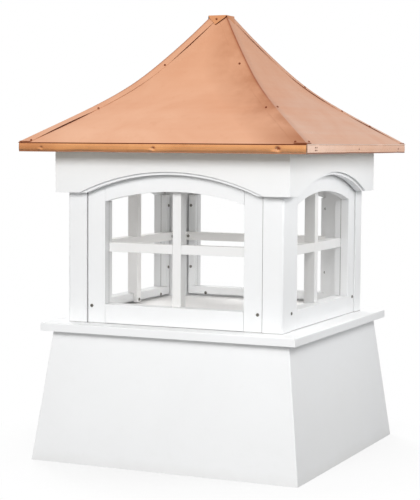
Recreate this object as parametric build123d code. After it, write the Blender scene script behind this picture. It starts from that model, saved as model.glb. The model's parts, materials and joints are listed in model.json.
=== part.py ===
from build123d import *
import os

# Barn cupola: a square, open-windowed lantern of white cellular PVC boards under a
# concave copper roof. Units are millimetres. The origin is the middle of the open foot,
# Z is up and the front faces -Y. Every side is the front side turned about Z.

# ---- overall heights -------------------------------------------------------------
BASE_HEIGHT = 300.0          # battered base, foot to underside of its cap
BOARD = 19.0                 # the 3/4 in board that most pieces are cut from
DECK_Z = BASE_HEIGHT + BOARD         # top of the base cap, where posts and frames stand
SOFFIT_Z = 716.0             # underside of the roof body
FASCIA_DRIP = 3.0            # how far the copper fascia hangs below the soffit
EAVE_Z = 734.0               # lip of the roof panels
APEX_Z = 1036.5              # flat top of the apex cap

# ---- half widths, measured out from the middle -------------------------------------
FOOT_HALF = 330.0            # 26 in square at the foot
BASE_TOP_HALF = 292.5
BASE_CAP_HALF = 314.5
FRIEZE_HALF = 289.0
POST_HALF = 267.0
FRAME_FACE = 264.0           # outer face of the window frames
FRAME_BACK = FRAME_FACE - BOARD
EAVE_HALF = 351.0
NECK_HALF = 20.5             # roof just under the apex cap
CAP_HALF = 23.5              # square plate of the apex cap

# ---- base ---------------------------------------------------------------------------
PANEL_T = 12.7               # battered panels
BASE_EDGE_R = 2.0
CAP_BOARD_W = 80.0
CAP_EDGE_R = 3.0

# ---- posts and windows ----------------------------------------------------------------
POST_W = 71.0
POST_CORNER_R = 5.0
REBATE_W = 23.0              # rebate in a post that a window frame is screwed into
FRAME_JOINT = 2.0            # shadow joint between a frame and the post beside it
BUTT_JOINT = 0.5             # hairline where a rail or head meets a stile
SILL_JOINT = 1.0             # gap under a bottom rail, which hangs on the low stop
RAIL_H = 44.5
OPEN_HALF = 173.0
SPRING_Z = 600.0             # where the arched head leaves the stiles
CROWN_Z = 625.0
EDGE_EASE = 0.5              # eased board edges
STOP_W = 19.0                # inner stops round each opening
STOP_T = 16.0
STOP_JOINT = 0.6

# ---- frieze -----------------------------------------------------------------------------
FRIEZE_Z = 619.7
ARCH_HALF = 227.3            # half span of the frieze arch at the lower edge
ARCH_CROWN_Z = 670.0
STRIP_T = 6.35               # 1/4 in strip bent into the arch
STRIP_SET_BACK = 5.7         # behind the frieze face

# ---- roof ---------------------------------------------------------------------------------
SHEET = 1.2                  # rise of one copper layer, measured upright
# Half width against height of the copper roof, eave to neck: nearly straight and shallow
# over the lower third, then a quickening curve up to the steep neck.
ROOF_CURVE = [(EAVE_HALF, EAVE_Z), (240.0, 807.2), (155.0, 873.5), (102.0, 930.6), (54.6, 988.6)]
HIP_W_EAVE = 29.0            # hip strip, across each roof face, at the eave
HIP_MEET = 24.0              # where neighbouring strips meet, under the tabs of the cap
HIP_SET_BACK = 4.0           # lower end of a hip strip, short of the eave
CAP_TAB_REACH = 36.0         # tip of each folded tab of the apex cap
CAP_PLATE_T = 3.0
FASCIA_T = 1.2
FASCIA_SET_BACK = 0.8        # under the lip of the roof panels
FASCIA_RETURN = 6.0          # lower edge of the fascia, turned in under the soffit
FASCIA_EASE = 0.8            # its rounded lower arris
CORNER_GAP = 0.3             # between pieces that meet at a corner

FLOOR_FIT = 0.5
BIG = 800.0
SIDES = ["front", "right", "back", "left"]
CORNERS = ["front_left", "front_right", "back_right", "back_left"]


def block(x0, x1, y0, y1, z0, z1):
    """Box between two corners."""
    size = Box(x1 - x0, y1 - y0, z1 - z0)
    return Pos((x0 + x1) / 2, (y0 + y1) / 2, (z0 + z1) / 2) * size


def square(half, z):
    return Pos(0, 0, z) * Rectangle(2 * half, 2 * half)


def frustum(half_low, half_high, z_low, z_high):
    """Square battered block, wider at one end."""
    faces = [square(half_low, z_low), square(half_high, z_high)]
    return loft(Sketch() + faces)


def prism(points, z0, z1):
    """Upright prism on a plan polygon."""
    return Pos(0, 0, z0) * extrude(make_face(Polyline(*points, close=True)), z1 - z0)


def front_wedge(gap=0.0):
    """Plan wedge of the front side, bounded by both mitres."""
    reach = BIG
    return prism([(0, -gap), (reach - gap, -reach), (gap - reach, -reach)], -BIG, 2 * BIG)


def turned(shape, quarter_turns):
    return Rot(0, 0, 90 * quarter_turns) * shape


def arc_radius(half_span, rise):
    return (half_span ** 2 + rise ** 2) / (2 * rise)


def arch_disc(radius, crown_z, y0, y1):
    """Round bar along Y whose top touches crown_z: it cuts an arch of that radius."""
    face = Plane.XZ.offset(-y0) * Pos(0, crown_z - radius) * Circle(radius)
    return extrude(face, -(y1 - y0))


# ---- base ---------------------------------------------------------------------------------
def base_panel():
    outer = frustum(FOOT_HALF, BASE_TOP_HALF, 0, BASE_HEIGHT)
    slanted = [e for e in outer.edges() if abs((e @ 0).Z - (e @ 1).Z) > 1]
    outer = fillet(slanted, BASE_EDGE_R)
    inner = frustum(FOOT_HALF - PANEL_T, BASE_TOP_HALF - PANEL_T, 0, BASE_HEIGHT)
    return (outer - inner) & front_wedge()


def base_cap():
    outer = block(-BASE_CAP_HALF, BASE_CAP_HALF, -BASE_CAP_HALF, BASE_CAP_HALF, BASE_HEIGHT, DECK_Z)
    outer = fillet(outer.faces().sort_by(Axis.Z)[-1].edges(), CAP_EDGE_R)
    hole = BASE_CAP_HALF - CAP_BOARD_W
    return (outer - block(-hole, hole, -hole, hole, 0, BIG)) & front_wedge()


def floor_deck():
    half = FRAME_BACK - FLOOR_FIT
    deck = block(-half, half, -half, half, DECK_Z, DECK_Z + BOARD)
    notch = POST_HALF - POST_W - FLOOR_FIT
    for k in range(4):
        deck -= turned(block(notch, BIG, notch, BIG, 0, BIG), k)
    return deck


# ---- lantern -------------------------------------------------------------------------------
def corner_post():
    """Post at the front left, with a rebate towards each window frame."""
    inner = POST_HALF - POST_W
    post = block(-POST_HALF, -inner, -POST_HALF, -inner, DECK_Z, SOFFIT_Z)
    post -= block(-inner - REBATE_W, 0, -BIG, -FRAME_BACK, 0, BIG)
    post -= block(-BIG, -FRAME_BACK, -inner - REBATE_W, 0, 0, BIG)
    upright = post.edges().filter_by(Axis.Z)
    outer_corner = upright.sort_by(lambda e: e.center().X + e.center().Y)[0]
    return fillet(outer_corner, POST_CORNER_R)


def window_stiles():
    """Both stiles of one frame: they stand clear of each other beside the opening."""
    outer = POST_HALF - POST_W + REBATE_W - FRAME_JOINT
    stile = block(OPEN_HALF, outer, -FRAME_FACE, -FRAME_BACK, DECK_Z, SOFFIT_Z)
    stile = chamfer(stile.faces().sort_by(Axis.Y)[0].edges().filter_by(Axis.Z), EDGE_EASE)
    return Compound([stile, mirror(stile, Plane.YZ)])


def window_rail():
    half = OPEN_HALF - BUTT_JOINT
    rail = block(-half, half, -FRAME_FACE, -FRAME_BACK, DECK_Z + SILL_JOINT, DECK_Z + RAIL_H)
    top_edge = rail.edges().filter_by(Axis.X).sort_by(lambda e: e.center().Z - e.center().Y)[-1]
    return chamfer(top_edge, EDGE_EASE)


def window_head():
    """Board between the stiles whose lower edge is the arch of the opening."""
    half = OPEN_HALF - BUTT_JOINT
    head = block(-half, half, -FRAME_FACE, -FRAME_BACK, SPRING_Z, SOFFIT_Z)
    radius = arc_radius(OPEN_HALF, CROWN_Z - SPRING_Z)
    return head - arch_disc(radius, CROWN_Z, -BIG, 0)


def window_stops():
    """Square stops screwed behind the frame, flush with the opening."""
    back = -FRAME_BACK + STOP_T
    sill_top = DECK_Z + RAIL_H
    side = block(OPEN_HALF, OPEN_HALF + STOP_W, -FRAME_BACK, back, sill_top + STOP_JOINT, SPRING_Z)
    reach = OPEN_HALF + STOP_W
    low = block(-reach, reach, -FRAME_BACK, back, sill_top - STOP_W, sill_top)
    return Compound([side, mirror(side, Plane.YZ), low])


# ---- frieze ----------------------------------------------------------------------------------
def frieze():
    outer = block(-FRIEZE_HALF, FRIEZE_HALF, -FRIEZE_HALF, FRIEZE_HALF, FRIEZE_Z, SOFFIT_Z)
    inner = block(-POST_HALF, POST_HALF, -POST_HALF, POST_HALF, 0, BIG)
    board = (outer - inner) & front_wedge()
    radius = arc_radius(ARCH_HALF, ARCH_CROWN_Z - FRIEZE_Z)
    return board - arch_disc(radius, ARCH_CROWN_Z, -BIG, 0)


def arch_strip():
    """Strip bent into the arch of the frieze, set back from its face."""
    radius = arc_radius(ARCH_HALF, ARCH_CROWN_Z - FRIEZE_Z)
    outer = arch_disc(radius, ARCH_CROWN_Z, -FRIEZE_HALF + STRIP_SET_BACK, -POST_HALF)
    inner = arch_disc(radius - STRIP_T, ARCH_CROWN_Z - STRIP_T, -BIG, 0)
    above_edge = block(-BIG, BIG, -BIG, 0, FRIEZE_Z, BIG)
    return (outer - inner) & above_edge


# ---- roof --------------------------------------------------------------------------------------
def roof_body(layers):
    """Pagoda form under a number of copper layers: two equal curved ridges crossed."""
    drop = SHEET * (1 - layers)
    rise = [(half, z - drop) for half, z in ROOF_CURVE]
    top = APEX_Z - SHEET * (3 - layers)
    curve = Spline(*rise, (NECK_HALF, top))
    half = curve @ 0
    left = mirror(curve, Plane.YZ)
    edges = [
        curve,
        Line(curve @ 1, (-NECK_HALF, top)),
        left,
        Line((-half.X, half.Y), (-half.X, SOFFIT_Z)),
        Line((-half.X, SOFFIT_Z), (half.X, SOFFIT_Z)),
        Line((half.X, SOFFIT_Z), (half.X, half.Y)),
    ]
    section = make_face(Curve() + edges)
    ridge = extrude(Plane.XZ * section, 2 * EAVE_HALF, both=True)
    return ridge & turned(ridge, 1)


def layer(number):
    return roof_body(number) - roof_body(number - 1)


def hip_plan():
    """Plan of the strip over the front left hip, a little wider towards the eave."""
    a, b, gap = EAVE_HALF - HIP_SET_BACK, NECK_HALF - 2, CORNER_GAP
    half = [(-a, -a), (HIP_W_EAVE - a, -a), (-gap, -HIP_MEET), (-gap, -b)]
    return half + [(y, x) for x, y in half[:0:-1]]


def roof_cap():
    """Square plate over the neck with a pointed tab folded down each side."""
    points = []
    for k in range(4):
        turn = Rot(0, 0, 90 * k)
        points += [turn * Pos(-CAP_HALF, -CAP_HALF), turn * Pos(0, -CAP_TAB_REACH)]
    plan = prism([(p.position.X, p.position.Y) for p in points], 0, 2 * BIG)
    plate = block(-CAP_HALF, CAP_HALF, -CAP_HALF, CAP_HALF, APEX_Z - CAP_PLATE_T, APEX_Z)
    return (layer(3) & plan) + (plate - roof_body(2))


def roof_core():
    """Boarded body under the copper, which the fascia is wrapped round."""
    inner = EAVE_HALF - FASCIA_SET_BACK - FASCIA_T
    return roof_body(0) & block(-inner, inner, -inner, inner, 0, 2 * BIG)


def fascia():
    """Upright strip under the lip of one roof panel, its lower edge returned inwards."""
    face = EAVE_HALF - FASCIA_SET_BACK
    inner, back = face - FASCIA_T, face - FASCIA_RETURN
    top, foot = EAVE_Z - SHEET, SOFFIT_Z - FASCIA_DRIP
    outside = [(-back, foot), (FASCIA_EASE - face, foot), (-face, foot + FASCIA_EASE), (-face, top)]
    inside = [(-inner, top), (-inner, foot + FASCIA_T), (-back, foot + FASCIA_T)]
    section = Plane.YZ * make_face(Polyline(*outside, *inside, close=True))
    return extrude(section, EAVE_HALF, both=True) & front_wedge(CORNER_GAP)


# ---- write every node ------------------------------------------------------------------------------
def build():
    nodes = {}
    per_side = {
        "base_panel": base_panel(),
        "base_cap": base_cap(),
        "window_stiles": window_stiles(),
        "window_rail": window_rail(),
        "window_head": window_head(),
        "window_stops": window_stops(),
        "frieze": frieze(),
    }
    panels = layer(1)
    hips = layer(2)
    per_side["roof_panel"] = panels & front_wedge()
    for name, shape in per_side.items():
        for k, side in enumerate(SIDES):
            nodes[f"{name}_{side}"] = turned(shape, k)
    post = corner_post()
    hip = hips & prism(hip_plan(), 0, 2 * BIG)
    for k, corner in enumerate(CORNERS):
        nodes[f"corner_post_{corner}"] = turned(post, k)
        nodes[f"hip_strip_{corner}"] = turned(hip, k)
    nodes["floor_deck"] = floor_deck()
    nodes["arch_strips"] = Compound([turned(arch_strip(), k) for k in range(4)])
    nodes["roof_core"] = roof_core()
    nodes["roof_fascia"] = Compound([turned(fascia(), k) for k in range(4)])
    nodes["roof_cap"] = roof_cap()
    return nodes


os.makedirs("parts", exist_ok=True)
for node_name, node_shape in build().items():
    export_step(node_shape, f"parts/{node_name}.step")
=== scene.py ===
import json
import math

import bmesh
import bpy
from mathutils import Matrix, Vector, noise
from mathutils.bvhtree import BVHTree

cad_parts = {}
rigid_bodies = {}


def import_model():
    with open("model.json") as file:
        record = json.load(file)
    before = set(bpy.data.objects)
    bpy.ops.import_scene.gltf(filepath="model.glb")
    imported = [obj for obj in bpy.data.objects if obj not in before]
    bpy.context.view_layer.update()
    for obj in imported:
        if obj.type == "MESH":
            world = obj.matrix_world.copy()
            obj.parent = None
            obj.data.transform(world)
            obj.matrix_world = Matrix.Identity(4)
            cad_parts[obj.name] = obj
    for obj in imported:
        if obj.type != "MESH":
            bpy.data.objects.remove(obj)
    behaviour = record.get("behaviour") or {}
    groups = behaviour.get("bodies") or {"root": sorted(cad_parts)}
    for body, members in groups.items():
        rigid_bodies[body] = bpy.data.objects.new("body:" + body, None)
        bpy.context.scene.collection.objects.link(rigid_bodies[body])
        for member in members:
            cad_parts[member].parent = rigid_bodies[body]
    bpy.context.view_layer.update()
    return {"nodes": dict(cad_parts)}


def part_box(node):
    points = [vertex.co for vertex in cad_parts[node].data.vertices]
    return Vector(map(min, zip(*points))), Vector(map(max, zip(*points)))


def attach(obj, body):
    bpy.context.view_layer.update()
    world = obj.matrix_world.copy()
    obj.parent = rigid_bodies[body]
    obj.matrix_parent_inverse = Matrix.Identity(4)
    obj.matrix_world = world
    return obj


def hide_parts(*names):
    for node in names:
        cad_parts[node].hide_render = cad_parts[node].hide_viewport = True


bl_info = {
    "name": "Barn Cupola",
    "version": (1, 0, 0),
    "blender": (4, 5, 0),
    "location": "View3D > Sidebar > Cupola",
    "description": "White board cupola with a bright copper roof, dressed around its packed frame",
    "category": "Object",
}

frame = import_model()
NODES = frame["nodes"]

SIDES = ("front", "right", "back", "left")
CORNERS = ("front_left", "front_right", "back_right", "back_left")
SKY = 2.0                     # height that rays are cast down from
DOWN = Vector((0, 0, -1))


def side_turn(k):
    """Turn about Z that carries a piece of the front to side k."""
    return Matrix.Rotation(math.radians(90.0 * k), 4, "Z")


def tint(red, green, blue):
    """Linear colour of an 8-bit display colour."""
    def linear(v):
        v /= 255.0
        return v / 12.92 if v <= 0.04045 else ((v + 0.055) / 1.055) ** 2.4
    return (linear(red), linear(green), linear(blue))


def length(name, value, text, low=0.0, high=10.0):
    return bpy.props.FloatProperty(
        name=name, description=text, default=value, min=low, max=high, unit="LENGTH", precision=4)


def power(name, value, text):
    return bpy.props.FloatProperty(name=name, description=text, default=value, min=0.0, unit="POWER")


def ratio(name, value, text, low=0.0, high=1.0):
    return bpy.props.FloatProperty(name=name, description=text, default=value, min=low, max=high)


def colour(name, display, text):
    return bpy.props.FloatVectorProperty(
        name=name, description=text, default=tint(*display), size=3, min=0.0, max=1.0, subtype="COLOR")


# ---- settings ---------------------------------------------------------------------------

class CupolaFinish(bpy.types.PropertyGroup):
    """Colours and surface of each finish."""
    vinyl: colour("Vinyl", (246, 247, 248), "White cellular board of the base")
    # Painted shade: the base's white board drawn a shade darker on the posts, frames and frieze.
    trim_vinyl: colour("Frame vinyl", (240, 241, 242), "White board of posts, frames and frieze")
    # Painted shade: the white board drawn greyer on the near window bars.
    bar_vinyl: colour("Bar vinyl", (236, 236, 236), "White board of the near window bars")
    # Painted light: the white board drawn brighter on the floor and the far bars inside the lantern.
    lit_inner_vinyl: colour("Inner vinyl", (253, 252, 251), "Clean white board of the floor and the far bars")
    vinyl_shade: colour("Vinyl marks", (230, 229, 226), "Faint grey where boards were handled")
    vinyl_roughness: ratio("Vinyl roughness", 0.46, "Satin of the white boards")
    dust: colour("Dust", (196, 190, 178), "Dust on the foot of the base")
    # Painted shade: a dark line in the upright joint between a post and its frame.
    joint_dirt: colour("Joint dirt", (150, 147, 142), "Dirt between a post and its frame")
    # Painted shade: a dark line where the frames stand on the cap board.
    foot_shade: colour("Foot dirt", (140, 138, 134), "Dirt where the frames stand on the cap board")
    # Painted shade: a dark line where a stop meets its frame.
    rebate_shade: colour("Rebate dirt", (122, 120, 116), "Dirt where a stop meets its frame")
    copper: colour("Roof copper", (247, 192, 157), "Bright rolled sheet of the roof panels")
    # Deeper tone of the patches; also painted shade towards the apex.
    copper_deep_and_shade: colour("Warmed copper", (228, 162, 123), "Deeper tone where the sheet has begun to colour")
    trim: colour("Trim copper", (236, 170, 122), "Copper of the apex cap")
    # Deeper tone of the patches; also painted shade towards the far ends of the fascia.
    trim_deep_and_shade: colour("Warmed trim", (206, 130, 88), "Deeper tone of cap and fascia")
    fascia: colour("Fascia copper", (253, 200, 163), "Copper of the fascia strips")
    # Painted highlight: the end strips drawn paler beside the near corner.
    pale: colour("Pale copper", (255, 224, 208), "Copper of the fascia's ends beside the near corner")
    # Darker blotched band beside two hips; also painted shade towards the far ends of the end strips.
    pressed: colour("Pressed hips", (190, 126, 90), "Smudged tone beside the hips that were handled most")
    # Painted shade: the cut edge drawn dark at the front and back eaves.
    lip_shade: colour("Cut edge", (140, 72, 38), "Dark cut edge of the panels at the front and back eaves")
    # Painted highlight: the same cut edge drawn bright at the end eaves.
    lip_highlight: colour("Burnished edge", (255, 222, 200), "Bright cut edge of the panels at the end eaves")
    # Painted shade in the folds, sprung gaps, undersides, cut ends and dents of the thin copper.
    grime: colour("Copper grime", (158, 82, 44), "Dark copper in folds, gaps and dents")
    copper_roughness: ratio("Copper roughness", 0.36, "Mill finish of the copper")
    soffit: colour("Soffit board", (214, 196, 166), "Sheathing board seen under the eaves")
    soffit_grain: colour("Soffit grain", (186, 160, 122), "Darker grain of the sheathing board")
    ceiling: colour("Ceiling", (252, 249, 243), "Pale paint on the board inside the lantern")
    screw: colour("Screw", (150, 148, 144), "Zinc plated screws in the white boards")
    copper_screw: colour("Copper screw", (168, 98, 68), "Screws of the hip strips and the cap")
    rivet: colour("Rivet", (132, 74, 54), "Small rivets of the fascia")


class CupolaBars(bpy.types.PropertyGroup):
    """Cross of bars in each window."""
    width: length("Bar width", 0.021, "Face width of a bar")
    depth: length("Bar depth", 0.026, "Depth of a bar behind the frame")
    mid_height: length("Mid height", 0.494, "Height of the level bar's centreline")
    side_lap: length("Side lap", 0.032, "How far the level bar runs past the opening")
    head_lap: length("Head lap", 0.032, "How far the upright bar runs up behind the head")
    crown: length("Crown", 0.625, "Height of the opening's arch over the upright bar")
    foot_lap: length("Foot lap", 0.022, "How far the upright bar runs down behind the bottom rail")
    fit: length("Fit", 0.0003, "Play between a bar and the stop it is notched over")
    ease: length("Eased edge", 0.0005, "Width of the eased edges")


class CupolaSheet(bpy.types.PropertyGroup):
    """Thin copper work of hips, fascia and apex."""
    thickness: length("Sheet", 0.0006, "Upright thickness of the hip strips")
    fold: length("Fold", 0.0016, "Half width of the rounded fold along a hip")
    strip_eave: length("Strip width at eave", 0.029, "Width of a strip's flange at its lower end")
    strip_meet: length("Strips meet", 0.024, "Distance from the axis where neighbouring strips meet")
    wave: length("Fascia wave", 0.00045, "How far the fascia waves in and out")
    dent_depth: length("Dent depth", 0.0011, "Depth of the nail dents in the fascia")
    dent_size: length("Dent size", 0.0038, "Half height of a nail dent")
    dent_height: length("Dent height", 0.7212, "Height of the nail dents above the foot")
    plate_half: length("Plate half width", 0.0235, "Half the width of the apex cap's level plate")
    tab_reach: length("Tab reach", 0.036, "Distance from the axis to the tip of a cap tab")
    cap_drift: length("Cap drift", -0.0015, "How far the cap sits off the roof's axis", -0.01)


class CupolaFasteners(bpy.types.PropertyGroup):
    """Screws and rivets."""
    screw_head: length("Screw head", 0.0075, "Diameter of the screws in the white boards")
    roof_head: length("Roof screw head", 0.0052, "Diameter of the copper screws along the hips")
    rivet_head: length("Rivet head", 0.0030, "Diameter of the small fascia rivets")


class CupolaStage(bpy.types.PropertyGroup):
    """Studio round the cupola."""
    ambient: ratio("Ambient", 0.58, "Strength of the studio's even light", 0.0, 2.0)
    key: power("Key", 53.5, "Large softbox in front, a little above the eave")
    fill: power("Fill", 5.9, "Small softbox beside the camera")
    side: power("Side", 3.8, "Small softbox close on the right")
    rear: power("Rear", 73.0, "Softbox behind on the left, which lights the inside")
    edge: power("Edge", 15.0, "Softbox behind on the right, which lights the inside and the right side")
    floor_size: length("Floor", 14.0, "Width of the studio floor", 2.0, 40.0)
    floor_bounce: ratio("Floor bounce", 0.42, "Share of its light that the floor throws back on the object")


# ---- shader node helpers ----------------------------------------------------------------

class Graph:
    """Places nodes in a tree and wires them by socket name."""

    def __init__(self, tree):
        self.tree = tree
        self.column = 0

    def node(self, kind, values=None, links=None, **settings):
        made = self.tree.nodes.new(kind)
        made.location = (self.column * 190, (self.column % 3) * -120)
        self.column += 1
        for key, value in settings.items():
            setattr(made, key, value)
        for key, value in (values or {}).items():
            made.inputs[key].default_value = value
        for key, source in (links or {}).items():
            self.link(source, made.inputs[key])
        return made

    def link(self, source, target):
        self.tree.links.new(source, target)

    def feed(self, socket, value):
        """Feeds a socket from another socket, a number or a plain colour."""
        if isinstance(value, bpy.types.NodeSocket):
            self.link(value, socket)
        elif isinstance(value, (int, float)):
            socket.default_value = value
        else:
            socket.default_value = (*value[:3], 1.0)

    def maths(self, operation, *values):
        made = self.node("ShaderNodeMath", operation=operation)
        for socket, value in zip(made.inputs, values):
            self.feed(socket, value)
        return made.outputs["Value"]

    def plus(self, first, second):
        return self.maths("ADD", first, second)

    def minus(self, first, second):
        return self.maths("SUBTRACT", first, second)

    def times(self, first, second):
        return self.maths("MULTIPLY", first, second)

    def over(self, first, second):
        return self.maths("DIVIDE", first, second)

    def most(self, first, second):
        return self.maths("MAXIMUM", first, second)

    def least(self, first, second):
        return self.maths("MINIMUM", first, second)

    def unsigned(self, value):
        return self.maths("ABSOLUTE", value)

    def ramp(self, value, low, high, to_low=0.0, to_high=1.0):
        """Straight change from to_low to to_high while the value goes from low to high."""
        ends = {"From Min": low, "From Max": high, "To Min": to_low, "To Max": to_high}
        return self.node("ShaderNodeMapRange", ends, {"Value": value}).outputs["Result"]

    def noise(self, vector, scale, detail=3.0, roughness=0.55):
        settings = {"Scale": scale, "Detail": detail, "Roughness": roughness}
        return self.node("ShaderNodeTexNoise", settings, {"Vector": vector}).outputs["Fac"]

    def parts(self, vector):
        """The X, Y and Z of a vector."""
        return self.node("ShaderNodeSeparateXYZ", links={"Vector": vector}).outputs

    def grey(self, value):
        """A colour of three like channels."""
        channels = {name: value for name in ("Red", "Green", "Blue")}
        return self.node("ShaderNodeCombineColor", links=channels).outputs["Color"]

    def blend(self, factor, first, second):
        """Colour mix; each side is a socket or a plain colour."""
        made = self.node("ShaderNodeMix", data_type="RGBA")
        for index, value in ((0, factor), (6, first), (7, second)):
            self.feed(made.inputs[index], value)
        return made.outputs[2]

    def stain(self, tone, mask, strength, stained):
        """Takes the tone towards the stained colour where the mask is, as far as the strength says."""
        return self.blend(self.times(mask, strength), tone, stained)

    def bump(self, surface, height, distance, strength):
        values = {"Strength": strength, "Distance": distance}
        made = self.node("ShaderNodeBump", values, {"Height": height})
        self.link(made.outputs["Normal"], surface["Normal"])


def new_group(name, inputs, outputs):
    """Shader node group that reads a Position and the named numbers and puts out the named masks."""
    tree = bpy.data.node_groups.new(name, "ShaderNodeTree")
    tree.interface.new_socket("Position", in_out="INPUT", socket_type="NodeSocketVector")
    for label, value in inputs.items():
        socket = tree.interface.new_socket(label, in_out="INPUT", socket_type="NodeSocketFloat")
        socket.default_value = value
    for label in outputs:
        tree.interface.new_socket(label, in_out="OUTPUT", socket_type="NodeSocketFloat")
    g = Graph(tree)
    return tree, g, g.node("NodeGroupInput").outputs, g.node("NodeGroupOutput").inputs


def grain_group():
    """Streaks drawn out along the level directions, as rolling leaves them on sheet."""
    tree, g, given, out = new_group(
        "rolled_grain", {"Along": 1.5, "Across": 160.0, "Contrast": 1.0}, ("Streaks", "Broad"))
    scale = g.node("ShaderNodeCombineXYZ", links={
        "X": given["Along"], "Y": given["Along"], "Z": given["Across"]})
    stretched = g.node("ShaderNodeVectorMath", operation="MULTIPLY")
    g.link(given["Position"], stretched.inputs[0])
    g.link(scale.outputs["Vector"], stretched.inputs[1])
    wide = g.node("ShaderNodeVectorMath", {"Scale": 0.17}, operation="SCALE")
    g.link(stretched.outputs["Vector"], wide.inputs[0])
    fine = g.noise(stretched.outputs["Vector"], 1.0, 4.0, 0.65)
    broad = g.noise(wide.outputs["Vector"], 1.0, 2.0, 0.5)
    g.link(g.times(g.minus(fine, 0.5), given["Contrast"]), out["Streaks"])
    g.link(g.ramp(broad, 0.3, 0.7), out["Broad"])
    return tree


def handling_group():
    """Soft patches and small marks left by hands and packing."""
    tree, g, given, out = new_group(
        "handling_marks", {"Patch Scale": 6.0, "Mark Scale": 60.0}, ("Patches", "Marks"))
    patch = g.node("ShaderNodeTexNoise", {"Detail": 4.0, "Roughness": 0.6, "Distortion": 0.6},
                   {"Vector": given["Position"], "Scale": given["Patch Scale"]})
    mark = g.node("ShaderNodeTexNoise", {"Detail": 2.0, "Roughness": 0.5},
                  {"Vector": given["Position"], "Scale": given["Mark Scale"]})
    g.link(g.ramp(patch.outputs["Fac"], 0.38, 0.68), out["Patches"])
    g.link(g.ramp(mark.outputs["Fac"], 0.60, 0.78), out["Marks"])
    return tree


def foot_dust_group():
    """Dust that gathers on the lowest part of an object standing on a floor."""
    tree, g, given, out = new_group("foot_dust", {"Height": 0.05}, ("Dust",))
    share = g.over(g.parts(given["Position"])["Z"], given["Height"])
    ragged = g.times(g.noise(given["Position"], 24.0), 0.9)
    g.link(g.ramp(g.plus(share, ragged), 0.35, 1.3, 1.0, 0.0), out["Dust"])
    return tree


def joint_shade_group():
    """Painted shade lines in the upright joints, in the foot joint and where the stops meet the frames."""
    tree, g, given, out = new_group(
        "joint_dirt", {"Joint": 0.2, "Foot": 0.3, "Sill": 0.36, "Stop": 0.2, "Width": 0.001},
        ("Line", "Sole", "Rebate"))
    place = g.parts(given["Position"])
    across, along = g.unsigned(place["X"]), g.unsigned(place["Y"])
    off = g.minus(g.least(across, along), given["Joint"])
    share = g.over(g.unsigned(off), given["Width"])
    faces = g.ramp(g.minus(along, across), -0.0002, 0.0002, 0.15, 1.0)
    g.link(g.times(faces, g.ramp(share, 0.4, 1.0, 1.0, 0.0)), out["Line"])
    above = g.over(g.minus(place["Z"], given["Foot"]), given["Width"])
    g.link(g.ramp(above, 0.6, 2.0, 1.0, 0.0), out["Sole"])
    deep = g.over(g.minus(given["Stop"], g.most(across, along)), given["Width"])
    upright = g.ramp(g.minus(place["Z"], given["Sill"]), 0.0004, 0.0012)
    line = g.times(g.ramp(deep, 0.02, 0.06), g.ramp(deep, 0.9, 1.4, 1.0, 0.0))
    g.link(g.times(line, upright), out["Rebate"])
    return tree


def hip_masks_group():
    """Band beside the hips, strongest at front right and back left; Far, Upper and End place painted shade
    and highlight.
    """
    tree, g, given, out = new_group("hip_handling", {"Width": 0.045}, ("Band", "Far", "Upper", "End"))
    place = g.parts(given["Position"])
    off = g.minus(g.unsigned(place["X"]), g.unsigned(place["Y"]))
    distance = g.over(g.unsigned(off), given["Width"])
    on_face = g.times(g.ramp(distance, 0.1, 2.0, 1.0, 0.0), g.ramp(off, -0.0002, 0.0, 1.0, 0.0))
    on_end = g.times(g.ramp(distance, 0.05, 0.55, 0.5, 0.0), g.ramp(off, -0.0002, 0.0))
    pair = g.times(place["X"], place["Y"])
    g.link(g.times(g.plus(on_face, on_end), g.ramp(pair, -0.0026, 0.0008, 1.0, 0.15)), out["Band"])
    g.link(g.ramp(pair, -0.12, 0.12), out["Far"])
    g.link(g.ramp(off, -0.0002, 0.0), out["End"])
    front = g.ramp(off, -0.002, 0.0, 1.0, 0.45)
    g.link(g.times(front, g.ramp(place["Z"], 0.76, 0.98)), out["Upper"])
    return tree


# ---- finishes ---------------------------------------------------------------------------

GROUPS = {}
MATERIALS = {}


def use_group(g, builder, where, **values):
    """Places a shader node group in a material; the group is built the first time."""
    if builder not in GROUPS:
        GROUPS[builder] = builder()
    made = g.node("ShaderNodeGroup", node_tree=GROUPS[builder])
    g.link(where, made.inputs["Position"])
    for key, value in values.items():
        made.inputs[key.replace("_", " ").title()].default_value = value
    return made.outputs


def new_material(name):
    """A material with its graph, the sockets of its surface and the place that patterns read."""
    made = bpy.data.materials.new(name)
    made.use_nodes = True
    made.node_tree.nodes.clear()
    g = Graph(made.node_tree)
    surface = g.node("ShaderNodeBsdfPrincipled")
    output = g.node("ShaderNodeOutputMaterial", links={"Surface": surface.outputs["BSDF"]})
    output.location = (900, 300)
    where = g.node("ShaderNodeTexCoord").outputs["Object"]
    return made, g, surface.inputs, where


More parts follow.
